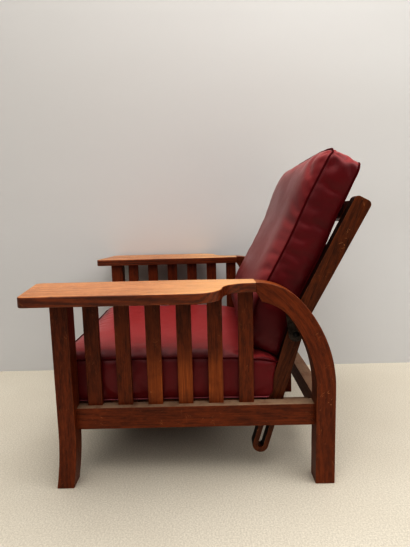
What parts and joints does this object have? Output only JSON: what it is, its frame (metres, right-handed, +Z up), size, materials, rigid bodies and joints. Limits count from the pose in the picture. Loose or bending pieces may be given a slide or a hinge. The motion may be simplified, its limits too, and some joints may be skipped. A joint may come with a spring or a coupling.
{
  "type": "mission reclining armchair",
  "caption": "Slatted oak armchair with broad arm boards, curved rear arches, boxed leather cushions, and a back that tips as the seat slides forward.",
  "frame": {"origin": "on the floor under the centre of the whole chair's bounding box, back upright", "axes": "+X to the sitter's left, -Y the way the chair faces, +Z up"},
  "size_m": [0.95, 0.8261, 0.8145],
  "materials": {
    "dark_oak": "aged satin varnish",
    "worn_oak": "worn glossy varnish",
    "red_leather": "worn satin leather",
    "aged_steel": "dull, aged",
    "blackened_iron": "blackened",
    "bright_steel": "plain steel"
  },
  "bodies": {
    "frame": {"arm_board_left": "worn_oak", "arm_board_right": "worn_oak", "arm_dowels": "dark_oak", "arm_slat_1_left": "dark_oak", "arm_slat_1_right": "dark_oak", "arm_slat_2_left": "dark_oak", "arm_slat_2_right": "dark_oak", "arm_slat_3_left": "dark_oak", "arm_slat_3_right": "dark_oak", "arm_slat_4_left": "dark_oak", "arm_slat_4_right": "dark_oak", "arm_slat_5_left": "dark_oak", "arm_slat_5_right": "dark_oak", "arm_slat_6_left": "dark_oak", "arm_slat_6_right": "dark_oak", "bearer_stops": "dark_oak", "bracket_screws": "bright_steel", "front_post_left": "dark_oak", "front_post_right": "dark_oak", "front_rail": "dark_oak", "pivot_bolt_left": "blackened_iron", "pivot_bolt_right": "blackened_iron", "pivot_bracket_left": "aged_steel", "pivot_bracket_right": "aged_steel", "pivot_nuts": "blackened_iron", "pivot_spacers": "blackened_iron", "pivot_washers": "blackened_iron", "rear_arch_left": "dark_oak", "rear_arch_right": "dark_oak", "rear_rail": "dark_oak", "seat_bearer_left": "dark_oak", "seat_bearer_right": "dark_oak", "side_rail_left": "dark_oak", "side_rail_right": "dark_oak"},
    "back": {"back_bottom_rail": "dark_oak", "back_cushion": "red_leather", "back_middle_rail": "dark_oak", "back_stile_left": "dark_oak", "back_stile_right": "dark_oak", "back_top_rail": "dark_oak"},
    "seat": {"cushion_stop_rail": "dark_oak", "rod_collars": "bright_steel", "seat_crossbar": "dark_oak", "seat_cushion": "red_leather", "seat_front_rail": "dark_oak", "seat_side_left": "dark_oak", "seat_side_right": "dark_oak", "seat_slat_1": "dark_oak", "seat_slat_2": "dark_oak", "seat_slat_3": "dark_oak", "seat_slat_4": "dark_oak", "seat_slat_5": "dark_oak", "seat_slat_6": "dark_oak", "slot_rod": "bright_steel", "stop_rail_screws": "bright_steel", "travel_stops": "dark_oak"}
  },
  "joints": [
    {"name": "back_recline", "type": "hinge", "parent": "frame", "child": "back", "pos_m": [0, 0.22993, 0.36878], "axis": [-1, 0, 0], "range_deg": [0, 18]},
    {"name": "seat_slide", "type": "slide", "parent": "frame", "child": "seat", "axis": [0, -1, 0], "range_m": [0, 0.07257]}
  ],
  "couplings": [
    {"joint": "seat_slide", "follows": "back_recline", "m_per_rad": 0.231}
  ]
}
